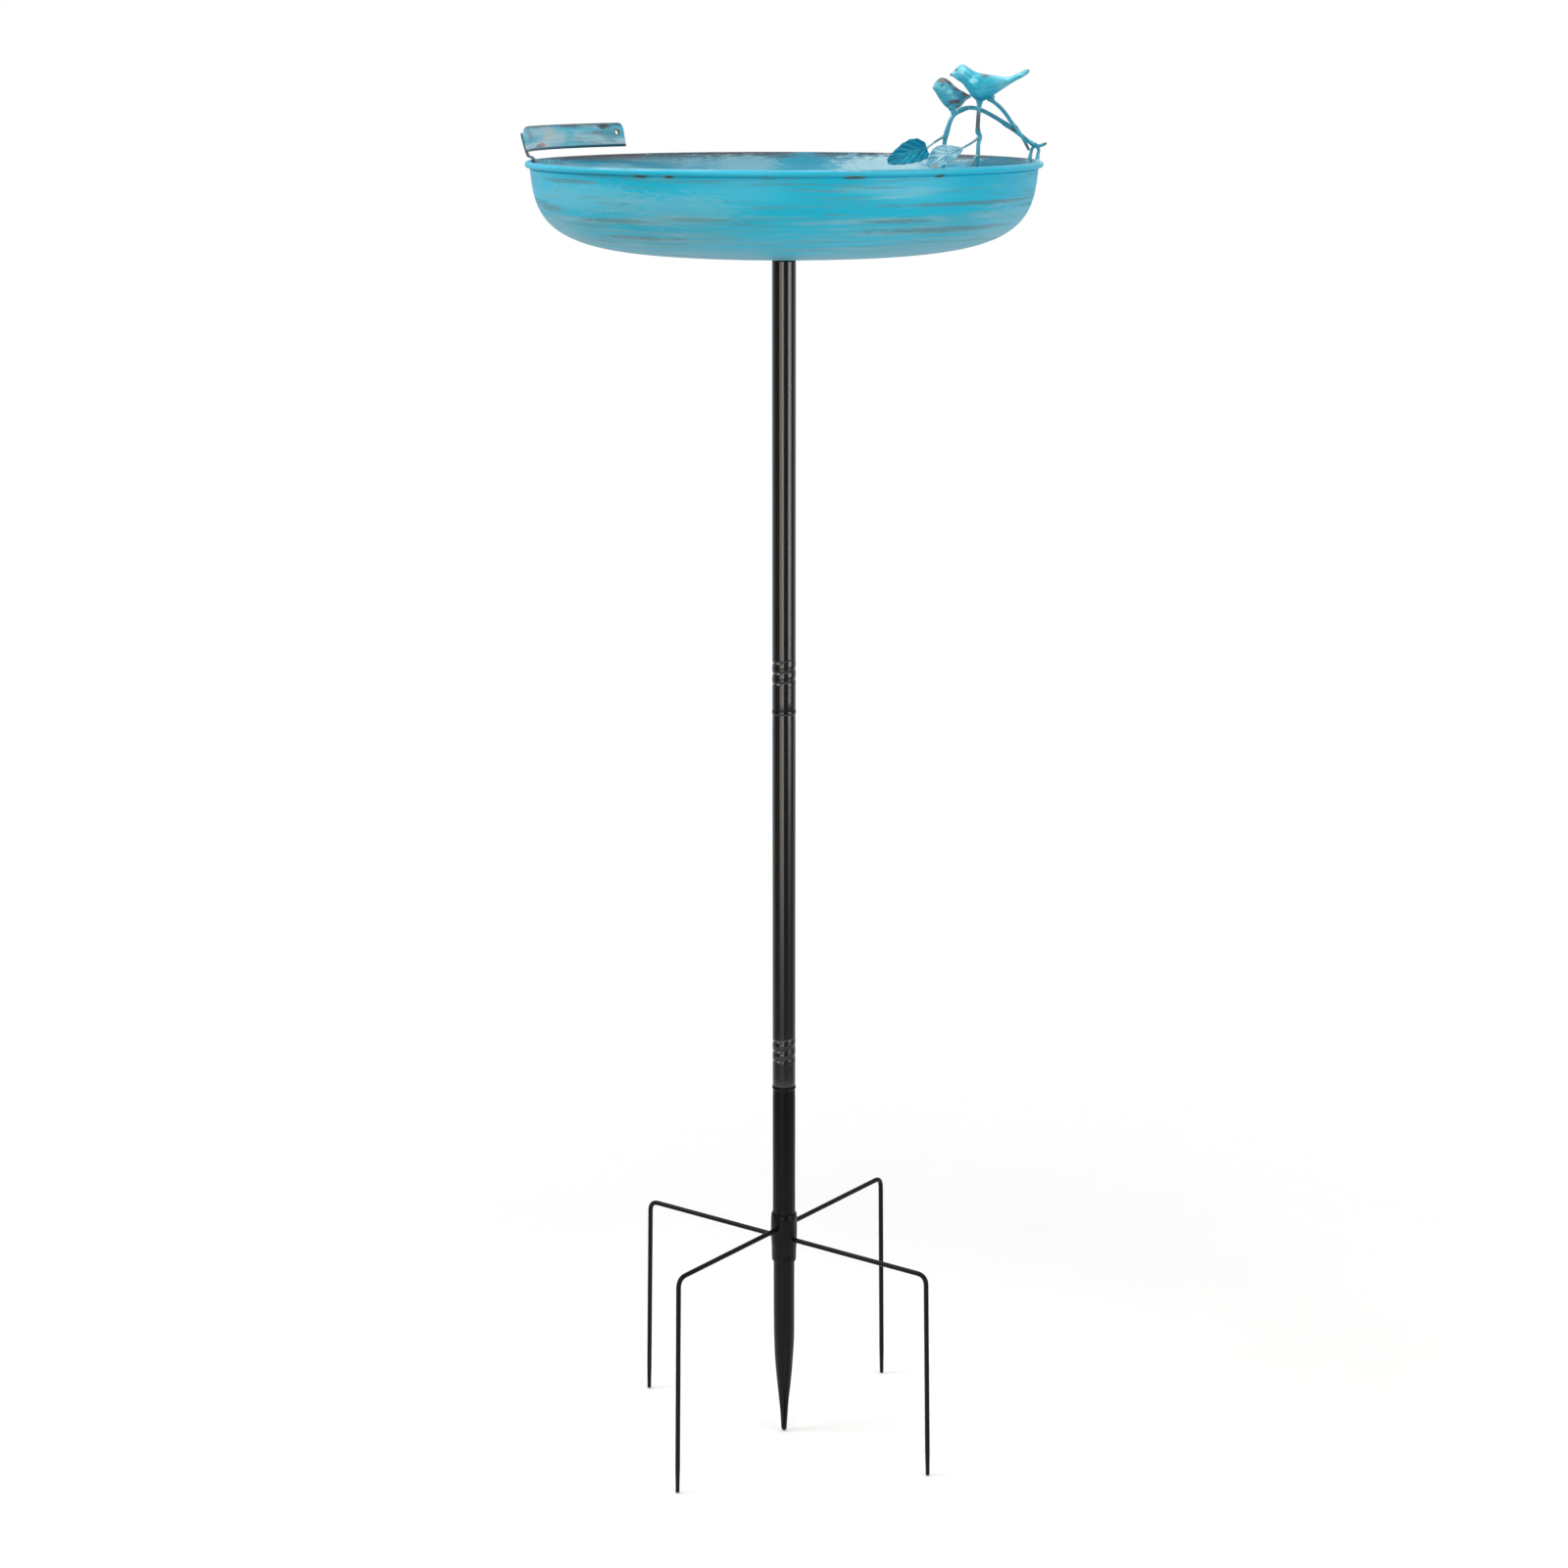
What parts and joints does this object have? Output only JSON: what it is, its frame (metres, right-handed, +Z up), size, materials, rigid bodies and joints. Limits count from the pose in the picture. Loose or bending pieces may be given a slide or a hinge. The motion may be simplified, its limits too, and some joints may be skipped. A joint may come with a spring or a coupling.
{
  "type": "bird bath on stake pole",
  "caption": "Shallow round metal dish with two small perched birds, on a screw-together pole with a pronged ground stake.",
  "frame": {"origin": "on the pole's axis, on the ground plane touched by the prong tips and the spike's point", "axes": "+Z up along the pole, -Y towards the viewer, +X towards the perched birds"},
  "size_m": [0.3276, 0.32, 0.9045],
  "materials": {
    "black_coat": "satin",
    "blue_coat": "satin",
    "teal_coat": "satin",
    "pale_coat": "satin",
    "zinc": "satin",
    "rubber": "matte"
  },
  "bodies": {
    "stake": {"pole_lower": "black_coat", "prong_collar": "black_coat", "prong_rod_lower": "black_coat", "prong_rod_upper": "black_coat"},
    "middle_section": {"pole_middle": "black_coat"},
    "upper_section": {"pole_upper": "black_coat", "pole_nut": "zinc", "seat_washer": "rubber"},
    "dish": {"bowl": "blue_coat", "bowl_flange": "black_coat", "bowl_stud": "zinc", "rim_band": "blue_coat", "band_leg": "teal_coat", "arch_branch": "teal_coat", "perch_branch": "teal_coat", "perch_leg": "teal_coat", "leg_brace": "teal_coat", "fork_twig": "teal_coat", "rim_foot_inner": "teal_coat", "rim_foot_outer": "teal_coat", "leaf_left": "teal_coat", "leaf_right": "pale_coat", "leaf_stem_left": "teal_coat", "leaf_stem_right": "teal_coat", "bird_upper": "teal_coat", "bird_lower": "teal_coat"}
  },
  "joints": [
    {"name": "lower_screw_joint", "type": "hinge", "parent": "stake", "child": "middle_section", "pos_m": [0, 0, 0.2465], "axis": [0, 0, 1], "range_deg": [0, 900]},
    {"name": "upper_screw_joint", "type": "hinge", "parent": "middle_section", "child": "upper_section", "pos_m": [0, 0, 0.5], "axis": [0, 0, 1], "range_deg": [0, 900]},
    {"name": "dish_screw_joint", "type": "hinge", "parent": "upper_section", "child": "dish", "pos_m": [0, 0, 0.7854], "axis": [0, 0, 1], "range_deg": [0, 3780]}
  ]
}
